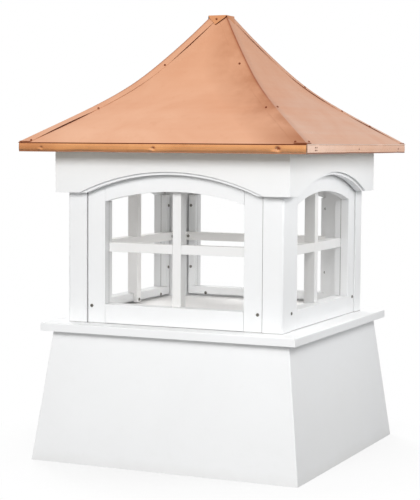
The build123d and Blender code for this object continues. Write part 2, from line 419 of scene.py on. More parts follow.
def vinyl_material(name, base, marks, dust_height=0.0, joint=0.0):
    """Satin white cellular board with faint handling marks and a fine skin."""
    look = bpy.context.scene.cupola_finish
    made, g, surface, where = new_material(name)
    handling = use_group(g, handling_group, where, patch_scale=5.0, mark_scale=70.0)
    tone = g.stain(base, handling["Patches"], marks, look.vinyl_shade)
    tone = g.stain(tone, handling["Marks"], marks * 0.6, look.vinyl_shade)
    if dust_height:
        dust = use_group(g, foot_dust_group, where, height=dust_height)
        tone = g.stain(tone, dust["Dust"], 0.10, look.dust)
    # Painted shade: dark lines in the joints beside the posts, at the frames' foot and where the stops meet
    # the frames.
    if joint:
        dirt = use_group(
            g, joint_shade_group, where, joint=joint, foot=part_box("corner_post_front_left")[0].z,
            sill=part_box("window_rail_right")[1].z, stop=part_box("window_stops_right")[1].x, width=0.0012)
        tone = g.stain(tone, dirt["Line"], 0.45, look.joint_dirt)
        tone = g.stain(tone, dirt["Sole"], 0.75, look.foot_shade)
        tone = g.stain(tone, dirt["Rebate"], 0.85, look.rebate_shade)
    g.link(tone, surface["Base Color"])
    rough = look.vinyl_roughness
    g.link(g.ramp(handling["Patches"], 0.0, 1.0, rough - 0.06, rough + 0.10), surface["Roughness"])
    skin = g.times(g.noise(where, 620.0, 2.0), 0.12)
    ripple = g.times(g.noise(where, 26.0, 2.0), 0.88)
    g.bump(surface, g.plus(skin, ripple), 0.0006, 0.35)
    surface["IOR"].default_value = 1.45
    return made


def eave_lip(g, where, tone):
    """Cut edge of the panels at the eave: painted shade on the front and back, painted highlight on the
    ends.
    """
    look = bpy.context.scene.cupola_finish
    place = g.parts(where)
    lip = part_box("roof_panel_right")[1].x - 0.0001
    blur = 0.00005
    front = g.ramp(g.unsigned(place["Y"]), lip - blur, lip + blur)
    ends = g.ramp(g.unsigned(place["X"]), lip - blur, lip + blur)
    return g.blend(front, g.blend(ends, tone, look.lip_highlight), look.lip_shade)


def copper_material(name, base, deep, band=0.0, streak=1.0, far=0.0, gloss=0.0):
    """Bright mill-finish copper with level rolling streaks, patches, a darker band by two hips, and painted
    shade and highlight.
    """
    look = bpy.context.scene.cupola_finish
    made, g, surface, where = new_material(name)
    grain = use_group(g, grain_group, where, along=1.6, across=190.0, contrast=streak)
    handling = use_group(g, handling_group, where, patch_scale=4.2, mark_scale=44.0)
    hips = use_group(g, hip_masks_group, where, width=0.062)
    tone = g.stain(base, handling["Patches"], 0.40, deep)
    tone = g.stain(tone, grain["Broad"], 0.16, deep)
    tone = g.stain(tone, handling["Marks"], 0.22, deep)
    if band:
        blotches = g.ramp(g.noise(where, 15.0, 5.0), 0.34, 0.62, 0.42, 1.0)
        blotches = g.most(blotches, g.ramp(g.parts(where)["Z"], 0.75, 0.80, 1.15, 0.0))
        # Darker blotched band beside the hips, strongest at the front right and back left.
        tone = g.stain(tone, g.times(hips["Band"], blotches), band, look.pressed)
        # Painted shade: darker towards the apex, most on the front and back.
        tone = g.stain(tone, hips["Upper"], 0.30, deep)
        # Painted shade and highlight on the panels' cut edge at the eave.
        tone = eave_lip(g, where, tone)
    # Painted shade towards the far end of each fascia strip, painted highlight near the near corner on the
    # end strips.
    if far:
        tone = g.stain(tone, hips["Far"], far, deep)
        near = g.ramp(hips["Far"], 0.0, 0.6, 0.4, 0.0)
        tone = g.stain(tone, hips["End"], near, look.pale)
        tone = g.stain(tone, g.times(hips["End"], hips["Far"]), 0.36, look.pressed)
    # Painted shade read from the mesh's corner attribute.
    grime = g.node("ShaderNodeAttribute", attribute_name="grime").outputs["Fac"]
    g.link(g.blend(grime, tone, look.grime), surface["Base Color"])
    g.link(g.ramp(grime, 0.0, 1.0, 1.0, 0.55), surface["Metallic"])
    rough = look.copper_roughness - gloss
    worn = g.ramp(handling["Patches"], 0.0, 1.0, rough - 0.05, rough + 0.07)
    g.link(g.plus(worn, g.times(grain["Streaks"], 0.22)), surface["Roughness"])
    canning = g.noise(where, 9.0, 1.0)
    g.bump(surface, g.plus(canning, g.times(grain["Streaks"], 0.05)), 0.0016, 0.6)
    return made


def board_material(name):
    """Sheathing board with a soft wood grain, painted pale where it roofs the lantern."""
    look = bpy.context.scene.cupola_finish
    made, g, surface, where = new_material(name)
    stretched = g.node("ShaderNodeMapping", {"Scale": (2.0, 46.0, 46.0)}, {"Vector": where})
    rings = g.noise(stretched.outputs["Vector"], 1.0, 5.0, 0.6)
    tone = g.blend(g.ramp(rings, 0.35, 0.7), look.soffit, look.soffit_grain)
    place = g.parts(where)
    reach = g.most(g.unsigned(place["X"]), g.unsigned(place["Y"]))
    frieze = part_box("frieze_right")[0].x
    inside = g.ramp(reach, frieze - 0.002, frieze + 0.002, 1.0, 0.0)
    g.link(g.blend(inside, tone, look.ceiling), surface["Base Color"])
    g.link(g.ramp(rings, 0.3, 0.7, 0.62, 0.8), surface["Roughness"])
    g.bump(surface, rings, 0.0005, 0.5)
    return made


def screw_material(name, base, roughness=0.38):
    """Plated or copper screw head, darker and rougher where dirt holds."""
    made, g, surface, where = new_material(name)
    spots = g.noise(where, 420.0, 2.0)
    dirty = [0.45 * v for v in base]
    g.link(g.blend(g.ramp(spots, 0.45, 0.72), base, dirty), surface["Base Color"])
    g.link(g.ramp(spots, 0.3, 0.7, roughness, roughness + 0.2), surface["Roughness"])
    surface["Metallic"].default_value = 1.0
    g.bump(surface, spots, 0.0002, 0.5)
    return made


def material(name):
    """The finish of that name, made once."""
    look = bpy.context.scene.cupola_finish
    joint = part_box("window_stiles_front")[1].x
    finishes = {
        "base_vinyl": (vinyl_material, look.vinyl, 0.12, 0.03),
        # The frieze and frame boards take the white drawn a shade darker than the base's: painted shade.
        "frieze_vinyl": (vinyl_material, look.trim_vinyl, 0.16),
        "trim_vinyl": (vinyl_material, look.trim_vinyl, 0.16, 0.0, joint),
        # Near bars: darker still, with heavy marks that also darken them, painted shade. Far bars and floor:
        # a brighter white, painted light.
        "bar_vinyl": (vinyl_material, look.bar_vinyl, 0.5),
        "far_bar_vinyl": (vinyl_material, look.lit_inner_vinyl, 0.05),
        "deck_vinyl": (vinyl_material, look.lit_inner_vinyl, 0.05),
        "roof_copper": (copper_material, look.copper, look.copper_deep_and_shade, 0.85),
        "hip_copper": (copper_material, look.copper, look.copper_deep_and_shade, 0.85, 0.8),
        "cap_copper": (copper_material, look.trim, look.trim_deep_and_shade, 0.0, 0.8),
        "fascia_copper": (copper_material, look.fascia, look.trim_deep_and_shade, 0.0, 2.0, 0.22, 0.12),
        "soffit_board": (board_material,),
        "plated_screw": (screw_material, look.screw),
        "copper_screw": (screw_material, look.copper_screw, 0.32),
        "dark_rivet": (screw_material, look.rivet, 0.4),
    }
    if name not in MATERIALS:
        maker, *settings = finishes[name]
        MATERIALS[name] = maker(name, *settings)
    return MATERIALS[name]


def dress(node, finish):
    """Gives a CAD node its finish."""
    node.data.materials.clear()
    node.data.materials.append(material(finish))


# ---- mesh helpers -----------------------------------------------------------------------

def link_piece(name, mesh):
    """Links a finished mesh as a piece of the one rigid body."""
    piece = bpy.data.objects.new(name, mesh)
    bpy.context.scene.collection.objects.link(piece)
    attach(piece, "root")
    return piece


def smooth_curves(mesh, angle):
    """Smooth shading, with the edges sharper than the angle kept."""
    mesh.shade_smooth()
    mesh.set_sharp_from_angle(angle=math.radians(angle))


def mesh_from(bm, name, materials=()):
    bmesh.ops.recalc_face_normals(bm, faces=bm.faces)
    mesh = bpy.data.meshes.new(name)
    bm.to_mesh(mesh)
    bm.free()
    for entry in materials:
        mesh.materials.append(entry)
    return mesh


def ease_edges(piece, width, angle=35.0):
    """Live bevel that eases every hard edge of a piece."""
    bevel = piece.modifiers.new("eased_edges", "BEVEL")
    bevel.width = width
    bevel.segments = 2
    bevel.limit_method = "ANGLE"
    bevel.angle_limit = math.radians(angle)


def ease_cad_board(node, width):
    """A CAD board's loose triangles are joined on a live copy and its edges eased."""
    weld = node.modifiers.new("joined", "WELD")
    weld.merge_threshold = 0.00001
    ease_edges(node, width, 50.0)


def bridge(bm, first, second):
    """Faces between two like rings of vertices."""
    count = len(first)
    for i in range(count):
        j = (i + 1) % count
        bm.faces.new((first[i], first[j], second[j], second[i]))


def add_prism(bm, outline, across, place):
    """Closed prism on an outline of (u, v) points, from across[0] to across[1]; place maps (u, v, w)."""
    near, far = ([bm.verts.new(place(u, v, w)) for u, v in outline] for w in across)
    bm.faces.new(near[::-1])
    bm.faces.new(far)
    bridge(bm, near, far)


# Corner layer that carries the painted shade of the thin copper.
def painted_shade_layer(bm):
    return bm.loops.layers.float.get("grime") or bm.loops.layers.float.new("grime")


def add_face(bm, layer, corners, grime):
    """A face whose corners carry their darkness."""
    made = bm.faces.new(corners)
    for loop, value in zip(made.loops, grime):
        loop[layer] = value


def add_sheet(bm, upper, lower, face_painted_shade, edge_painted_shade):
    """Closed thin sheet between two like grids of points; the painted shade is a function of row and column,
    the underside fully dark.
    """
    layer = painted_shade_layer(bm)
    top = [[bm.verts.new(p) for p in row] for row in upper]
    under = [[bm.verts.new(p) for p in row] for row in lower]
    rows, columns = len(top), len(top[0])
    for i in range(rows - 1):
        for j in range(columns - 1):
            cell = ((i, j), (i, j + 1), (i + 1, j + 1), (i + 1, j))
            add_face(bm, layer, [top[r][c] for r, c in cell], [face_painted_shade(r, c) for r, c in cell])
            # The underside is painted fully dark.
            add_face(bm, layer, [under[r][c] for r, c in cell[::-1]], (1.0,) * 4)
    rim = [(0, j) for j in range(columns - 1)] + [(i, columns - 1) for i in range(rows - 1)]
    rim += [(rows - 1, j) for j in range(columns - 1, 0, -1)] + [(i, 0) for i in range(rows - 1, 0, -1)]
    for (a, b), (c, d) in zip(rim, rim[1:] + rim[:1]):
        first, second = edge_painted_shade(a, b), edge_painted_shade(c, d)
        add_face(bm, layer, (top[a][b], under[a][b], under[c][d], top[c][d]), (first, first, second, second))


def add_loft(bm, rings, grime):
    """Closed solid through like rings of points; painted shade is a function of ring and place in the ring,
    the end faces fully dark.
    """
    layer = painted_shade_layer(bm)
    verts = [[bm.verts.new(p) for p in ring] for ring in rings]
    count = len(rings[0])
    for i in range(len(rings) - 1):
        for j in range(count):
            cell = ((i, j), (i, (j + 1) % count), (i + 1, (j + 1) % count), (i + 1, j))
            add_face(bm, layer, [verts[r][c] for r, c in cell], [grime(r, c) for r, c in cell])
    # The two end faces are painted fully dark.
    add_face(bm, layer, verts[0][::-1], (1.0,) * count)
    add_face(bm, layer, verts[-1], (1.0,) * count)


def surface_of(*pieces):
    """Ray-cast tree over pieces."""
    verts, faces = [], []
    for piece in pieces:
        mesh = piece.data
        start = len(verts)
        verts += [v.co.copy() for v in mesh.vertices]
        faces += [tuple(start + i for i in p.vertices) for p in mesh.polygons]
    return BVHTree.FromPolygons(verts, faces)


# ---- fasteners --------------------------------------------------------------------------

def turned_head(outline, facets):
    """Skin of a head turned about Z on an outline of (radius, z), closed below; also its top ring."""
    bm = bmesh.new()
    turns = [math.tau * i / facets for i in range(facets)]
    loops = []
    for radius, z in outline:
        loops.append([bm.verts.new((radius * math.cos(a), radius * math.sin(a), z)) for a in turns])
    for lower, upper in zip(loops, loops[1:]):
        bridge(bm, lower, upper)
    bm.faces.new(loops[0][::-1])
    return bm, loops[-1]


def screw_head_mesh():
    """Pan head of unit diameter with a cross recess, seated at z = 0."""
    bm, top = turned_head([(0.50, -0.03), (0.50, 0.10), (0.475, 0.17), (0.42, 0.235), (0.345, 0.275)], 20)
    arm, half = 0.255, 0.052
    rim_height, pit_height, pit_share = 0.285, 0.07, 0.72
    cross = [(arm, -half), (arm, half), (half, half), (half, arm), (-half, arm), (-half, half),
             (-arm, half), (-arm, -half), (-half, -half), (-half, -arm), (half, -arm), (half, -half)]
    rim = [bm.verts.new((x, y, rim_height)) for x, y in cross]
    pit = [bm.verts.new((x * pit_share, y * pit_share, pit_height)) for x, y in cross]
    edges = []
    for ring in (top, rim):
        for pair in zip(ring, ring[1:] + ring[:1]):
            edges.append(bm.edges.get(pair) or bm.edges.new(pair))
    bmesh.ops.triangle_fill(bm, use_beauty=True, use_dissolve=False, edges=edges)
    bridge(bm, rim, pit)
    bmesh.ops.contextual_create(bm, geom=pit)
    return mesh_from(bm, "screw_head")


def rivet_head_mesh():
    """Domed blind rivet of unit diameter with the dimple of its drawn stem."""
    outline = [(0.50, -0.02), (0.49, 0.08), (0.42, 0.17), (0.30, 0.235), (0.17, 0.25), (0.11, 0.16)]
    bm, top = turned_head(outline, 14)
    bm.faces.new(top)
    return mesh_from(bm, "rivet_head")


def fastener_tree(name):
    """Sets a head at every point, squared to the point's outward direction and spun by its own angle."""
    tree = bpy.data.node_groups.new(name, "GeometryNodeTree")
    inputs = {"Places": "Geometry", "Head": "Object", "Diameter": "Float", "Variation": "Float",
              "Seed": "Int", "Finish": "Material"}
    for label, kind in inputs.items():
        tree.interface.new_socket(label, in_out="INPUT", socket_type="NodeSocket" + kind)
    tree.interface.new_socket("Geometry", in_out="OUTPUT", socket_type="NodeSocketGeometry")
    g = Graph(tree)
    given, out = g.node("NodeGroupInput").outputs, g.node("NodeGroupOutput").inputs

    def random_number(low, high):
        made = g.node("FunctionNodeRandomValue", links={"Seed": given["Seed"]}, data_type="FLOAT")
        g.feed(made.inputs[2], low)
        g.feed(made.inputs[3], high)
        return made.outputs[1]

    outward = g.node("GeometryNodeInputNamedAttribute", {"Name": "outward"}, data_type="FLOAT_VECTOR")
    squared = g.node("FunctionNodeAlignRotationToVector", axis="Z", links={
        "Vector": outward.outputs["Attribute"]})
    spin = g.node("FunctionNodeAxisAngleToRotation", {"Axis": (0, 0, 1)}, {
        "Angle": random_number(0.0, math.tau)})
    turned = g.node("FunctionNodeRotateRotation", rotation_space="LOCAL", links={
        "Rotation": squared.outputs["Rotation"], "Rotate By": spin.outputs["Rotation"]})
    spread = random_number(g.minus(1.0, given["Variation"]), g.plus(1.0, given["Variation"]))
    source = g.node("GeometryNodeObjectInfo", links={"Object": given["Head"]})
    placed = g.node("GeometryNodeInstanceOnPoints", links={
        "Points": given["Places"], "Instance": source.outputs["Geometry"],
        "Rotation": turned.outputs["Rotation"], "Scale": g.times(spread, given["Diameter"])})
    real = g.node("GeometryNodeRealizeInstances", links={"Geometry": placed.outputs["Instances"]})
    finish = g.node("GeometryNodeSetMaterial", links={
        "Geometry": real.outputs["Geometry"], "Material": given["Finish"]})
    g.link(finish.outputs["Geometry"], out["Geometry"])
    return tree


def set_inputs(modifier, **values):
    """Sets a Geometry Nodes modifier's inputs by their sockets' identifiers."""
    names = {s.name: s.identifier for s in modifier.node_group.interface.items_tree
             if s.item_type == "SOCKET" and s.in_out == "INPUT"}
    for key, value in values.items():
        modifier[names[key]] = value


def fasteners(name, head_mesh, places, diameter, finish, seed):
    """One plain mesh of heads at places, a list of (point, outward direction) in metres."""
    mesh = bpy.data.meshes.new(name + "_places")
    mesh.from_pydata([tuple(p) for p, _ in places], [], [])
    outward = mesh.attributes.new("outward", "FLOAT_VECTOR", "POINT")
    outward.data.foreach_set("vector", [c for _, n in places for c in n])
    carrier = bpy.data.objects.new(name + "_carrier", mesh)
    head = bpy.data.objects.new(name + "_head", head_mesh)
    bpy.context.scene.collection.objects.link(carrier)
    bpy.context.scene.collection.objects.link(head)
    modifier = carrier.modifiers.new("fasteners", "NODES")
    modifier.node_group = fastener_tree(name + "_nodes")
    set_inputs(modifier, Head=head, Diameter=diameter, Variation=0.03, Seed=seed, Finish=material(finish))
    graph = bpy.context.evaluated_depsgraph_get()
    made = bpy.data.meshes.new_from_object(carrier.evaluated_get(graph))
    made.name = name
    bpy.data.objects.remove(carrier)
    bpy.data.objects.remove(head)
    smooth_curves(made, 45.0)
    return link_piece(name, made)


# ---- operators --------------------------------------------------------------------------

class CupolaBoards(bpy.types.Operator):
    """Give the white boards their satin finish and eased edges"""
    bl_idname = "cupola.boards"
    bl_label = "White Boards"

    EASE = 0.0004
    FINISHES = {
        "base_panel": ("base_vinyl", False),
        "base_cap": ("base_vinyl", True),
        # The floor takes the brighter white, painted light; the frieze, arch strips, posts and frames the
        # darker, painted shade.
        "floor_deck": ("deck_vinyl", True),
        "frieze": ("frieze_vinyl", True),
        "arch_strips": ("frieze_vinyl", True),
        "corner_post": ("trim_vinyl", True),
        "window": ("trim_vinyl", True),
        "roof_core": ("soffit_board", False),
    }

    def execute(self, context):
        for name, node in NODES.items():
            for start, (finish, eased) in self.FINISHES.items():
                if name.startswith(start):
                    dress(node, finish)
                    if eased:
                        ease_cad_board(node, self.EASE)
        return {"FINISHED"}


class CupolaCopper(bpy.types.Operator):
    """Give the roof panels their copper"""
    bl_idname = "cupola.copper"
    bl_label = "Copper Panels"

    def execute(self, context):
        for side in SIDES:
            dress(NODES["roof_panel_" + side], "roof_copper")
        return {"FINISHED"}


def roof_profile():
    """Function that gives the height of the copper panels at a distance from the roof's axis."""
    skin = surface_of(NODES["roof_panel_front"])
    off_middle = 0.0007

    def height(out):
        point = skin.ray_cast(Vector((off_middle, -out, SKY)), DOWN)[0]
        if point is None:
            raise RuntimeError("the roof panel ends before %.4f m" % out)
        return point.z
    return height


class CupolaHipStrips(bpy.types.Operator):
    """Fold a thin strip over each hip, sprung a little between its screws"""
    bl_idname = "cupola.hip_strips"
    bl_label = "Hip Strips"

    # How far each flange springs up between its screws, from the apex down. The corners go round
    # with the sides: each has the flange on the front, right, back or left, in that order, and
    # then the one on the side before it.
    SPRING = {
        "front_left": ((0.0020, 0.0004, 0.0018), (0.0006, 0.0010, 0.0008)),
        "front_right": ((0.0002, 0.0002, 0.0003), (0.0001, 0.0002, 0.0002)),
        "back_right": ((0.0008, 0.0005, 0.0012), (0.0011, 0.0013, 0.0011)),
        "back_left": ((0.0009, 0.0007, 0.0005), (0.0004, 0.0011, 0.0009)),
    }
    SCREWED_AT = (0.024, 0.115, 0.232, 0.345)            # distances of the screws from the axis
    PRESSED_GAP = 0.0003          # a flange that springs no more than this counts as pressed flat
    OPEN_GAP = 0.0008             # the further gap over which its edge is painted quite dark
    ROWS = 76
    ACROSS = (0.0, 0.08, 0.22, 0.45, 0.7, 0.9, 1.0)      # shares of a flange, from its free edge
    PAST_END = 0.0022             # how far a strip runs on past the CAD strip's end at the eave
    PAST_MEET = 0.003             # how far it runs on under the cap
    CURL_LENGTH = 0.004           # part of a strip that curls up at the eave
    CURL_LIFT = 0.0006
    CLEAR = 0.00003               # keeps the sheet off the panel under it
    LEAST_INNER = 0.0004          # least distance of a flange's free edge from the middle of its side
    THIN_SHARE = 0.3              # share of the thickness left at the free edge of a pressed strip
    THIN_ACROSS = 0.22            # share of the flange over which it comes back
    # Painted shade along the fold: dark near the apex, fading towards the eave to a least share at a set
    # distance from the axis.
    RIDGE_SHADE_OUT = 0.245
    RIDGE_SHADE_FADE = 0.060
    RIDGE_SHADE_LEFT = 0.06
    RIDGE_SHADE_ACROSS = (1.0, 0.75, 0.25)                      # on the fold, and at the next points
    # Painted shade on the strip's cut end at the eave.
    END_SHADE = 0.95

    def execute(self, context):
        sheet = context.scene.cupola_sheet
        height = roof_profile()
        end = self.PAST_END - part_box("hip_strip_front_left")[0].x
        start = sheet.strip_meet - self.PAST_MEET
        outs = [start + (end - start) * i / (self.ROWS - 1) for i in range(self.ROWS)]
        for k, corner in enumerate(CORNERS):
            name = "folded_hip_" + corner
            bm = bmesh.new()
            self.strip(bm, sheet, height, outs, side_turn(k), self.SPRING[corner])
            mesh = mesh_from(bm, name, [material("hip_copper")])
            smooth_curves(mesh, 55.0)
            piece = link_piece(name, mesh)
            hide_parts("hip_strip_" + corner)
        return {"FINISHED"}

    def strip(self, bm, sheet, height, outs, turn, spring):
        """One strip, in rows from the apex to the eave; each row runs over the fold from edge to edge."""
        end = outs[-1]
        pressed = max(max(lifts) for lifts in spring) <= self.PRESSED_GAP
        least = self.THIN_SHARE if pressed else 1.0
        shares = [least + (1.0 - least) * min(1.0, f / self.THIN_ACROSS) for f in self.ACROSS]
        thin = [sheet.thickness * share for share in shares]
        thick = thin + [sheet.thickness] + thin[::-1]
        upper, lower = [], []
        for out in outs:
            curl = self.CURL_LIFT * max(0.0, (out - end + self.CURL_LENGTH) / self.CURL_LENGTH) ** 2
            inner = (out - sheet.strip_meet) / (end - sheet.strip_meet) * (end - sheet.strip_eave)
            inner = max(self.LEAST_INNER, inner)
            profile = height(out)
            span = out - sheet.fold - inner
            near, far = (
                [(inner + f * span, profile + self.CLEAR + curl + self.sprung(out, lifts) * (1 - f) ** 2)
                 for f in self.ACROSS] for lifts in spring)
            fold_out, fold_z = out - 0.2 * sheet.fold, profile - 0.1 * sheet.fold
            row = [Vector((-u, -out, z)) for u, z in near]
            row += [Vector((-fold_out, -fold_out, fold_z))]
            row += [Vector((-out, -u, z)) for u, z in far[::-1]]
            lower.append([turn @ p for p in row])
            upper.append([turn @ (p + Vector((0, 0, t + curl))) for p, t in zip(row, thick)])
        middle = len(self.ACROSS)

        # Painted shade along the fold.
        def shaded_ridge(i, j):
            if abs(j - middle) >= len(self.RIDGE_SHADE_ACROSS):
                return 0.0
            share = min(1.0, max(0.0, (self.RIDGE_SHADE_OUT - outs[i]) / self.RIDGE_SHADE_FADE))
            return (self.RIDGE_SHADE_LEFT + (1.0 - self.RIDGE_SHADE_LEFT) * share) * self.RIDGE_SHADE_ACROSS[abs(j - middle)]

        def gap_shade(i, j):
            if i == len(outs) - 1:
                return self.END_SHADE
            gap = self.sprung(outs[i], spring[0 if j < middle else 1]) - self.PRESSED_GAP
            return min(1.0, max(0.0, gap) / self.OPEN_GAP)

        add_sheet(bm, upper, lower, shaded_ridge, gap_shade)

    def sprung(self, out, lifts):
        """Lift of a flange's free edge at a distance from the axis."""
        for start, stop, lift in zip(self.SCREWED_AT, self.SCREWED_AT[1:], lifts):
            if start <= out <= stop:
                return lift * math.sin(math.pi * (out - start) / (stop - start)) ** 1.3
        return 0.0


class CupolaFascia(bpy.types.Operator):
    """Make the waved and dented fascia strips under the eave"""
    bl_idname = "cupola.fascia"
    bl_label = "Fascia"

    # Where the dents lie along a strip, and how deep each is for the dent depth set.
    FRONT_DENTS = ((-0.292, 0.5), (-0.010, 0.7), (0.2825, 1.15))
    END_DENTS = ((-0.009, 0.3), (0.2935, 0.4))
    STATIONS = 177
    DENT_STEP, DENT_STEPS = 0.0007, 16
    CORNER_STEP, CORNER_STEPS = 0.0011, 4
    FACE_STEPS = 18
    CROWN = 0.0003                # how much the face swells at mid height
    RISE = 0.0011                 # how far the foot of the strip waves upwards
    MITRE = 0.0003                # how far the face stops short of the corner
    SEAT = 0.00005                # play between the strip and the board behind it
    # Painted shade on the strips: the mitred ends, the recessed top, the fold into the hem, the hem and its
    # back.
    MITRE_SHADE = 0.85
    RECESS_SHADE = 0.92           # painted shade on the top of a strip that sits back under the lip
    FOLD_SHADE = (0.35, 1.0)      # painted shade on the last point of the face and the first of the hem
    HEM_SHADE = (0.1, 0.9)        # painted shade: light under a recessed strip, dark under an end strip
    BACK_SHADE = 0.8

    def execute(self, context):
        bm = bmesh.new()
        for k in range(4):
            self.strip(bm, context.scene.cupola_sheet, k)
        mesh = mesh_from(bm, "copper_fascia", [material("fascia_copper")])
        smooth_curves(mesh, 60.0)
        piece = link_piece("copper_fascia", mesh)
        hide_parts("roof_fascia")
        return {"FINISHED"}

    def section(self, recessed):
        """Section of a strip as (out, z) points, with where its face and its hem begin in it."""
        low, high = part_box("roof_fascia")
        face, foot, top = high.x, low.z, high.z
        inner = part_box("roof_core")[1].x + self.SEAT
        if recessed:
            rim = [(inner, top - 0.0001), (inner + 0.0001, top - 0.0004), (face - 0.0004, top - 0.0008)]
        else:
            rim = [(inner, top - 0.0001), (face - 0.0005, top + 0.0001), (face - 0.0001, top - 0.0002)]
        high_z, low_z = rim[-1][1] - 0.0006, foot + 0.0022
        shares = [i / self.FACE_STEPS for i in range(self.FACE_STEPS + 1)]
        front = [(face - self.CROWN * (2 * s - 1) ** 2, high_z + (low_z - high_z) * s) for s in shares]
        hem = [(face - 0.0007, low_z - 0.0006), (face - 0.0001, foot + 0.0010),
               (face - 0.0001, foot + 0.0006), (face - 0.0009, foot), (face - 0.006, foot),
               (face - 0.006, foot + 0.0008), (inner - 0.0006, foot + 0.0009), (inner, foot + 0.0015)]
        return rim + front + hem, len(rim), len(rim) + len(front)

    def stations(self, reach, dents):
        """Places along a strip where its section is set, closer at the dents and the corners."""
        places = {round(-reach + 2 * reach * i / (self.STATIONS - 1), 5) for i in range(self.STATIONS)}
        for centre, _, _ in dents:
            steps = range(-self.DENT_STEPS, self.DENT_STEPS + 1)
            places |= {round(centre + self.DENT_STEP * i, 5) for i in steps}
        for i in range(1, self.CORNER_STEPS + 1):
            places |= {round(sign * (reach - self.CORNER_STEP * i), 5) for sign in (-1, 1)}
        return sorted(x for x in places if abs(x) <= reach)

    def strip(self, bm, sheet, k):
        """One side's strip: the front and back sit back under the lip, the ends have a rounded top."""
        recessed = k % 2 == 0
        dents = [(centre, depth, sheet.dent_size * (0.45 + 0.55 * depth))
                 for centre, depth in (self.FRONT_DENTS if recessed else self.END_DENTS)]
        section, rim, curl = self.section(recessed)
        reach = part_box("roof_fascia")[1].x - self.MITRE
        stations = self.stations(reach, dents)
        turn = side_turn(k)
        rings, shades = [], []
        for x in stations:
            ring, shade = [], []
            rise = max(0.0, self.RISE * noise.noise(Vector((x * 9.0, 3.1 + 5.0 * k, 0.0))))
            for index, (out, z) in enumerate(section):
                up = z - sheet.dent_height
                shift = 0.0
                if rim - 1 <= index <= curl:
                    shift += sheet.wave * noise.noise(Vector((x * 16.0, z * 22.0, 7.0 * k)))
                    shift -= sum(sheet.dent_depth * depth * self.dent(x - centre, up, size)
                                 for centre, depth, size in dents)
                shade.append(max(self.dent_shade(x - centre, up, depth, size)
                                 for centre, depth, size in dents))
                if index >= curl - 1:
                    z += rise
                along = x * (out - self.MITRE) / reach
                ring.append(turn @ Vector((along, -(out + shift), z)))
            rings.append(ring)
            shades.append(shade)
        last = len(stations) - 1

        def grime(i, j):
            if i in (0, last):
                return self.MITRE_SHADE
            if recessed and j < rim:
                return self.RECESS_SHADE
            if j in (curl - 1, curl):
                return self.FOLD_SHADE[j - curl + 1]
            if curl < j < curl + 3:
                return self.HEM_SHADE[k % 2]
            if curl < j:
                return self.BACK_SHADE
            return shades[i][j]

        add_loft(bm, rings, grime)

    def dent(self, along, up, size):
        """Shape of a nail dent: a hollow with the sheet heaved up below it."""
        hollow = math.hypot((along - 0.3 * size) / (1.2 * size), (up - 0.3 * size) / size)
        heave = math.hypot((along + 1.3 * size) / (1.4 * size), (up + 0.9 * size) / (0.9 * size))
        return math.exp(-hollow * hollow) - 0.75 * math.exp(-heave * heave)

    def dent_shade(self, along, up, depth, size):
        """Darkness of the side of a dent that falls away to the right."""
        if along <= -0.4 * size:
            return 0.0
        step = 0.0005
        fall = self.dent(along - step, up - step, size) - self.dent(along + step, up + step, size)
        return max(0.0, min(1.0, 4.5 * depth * fall))


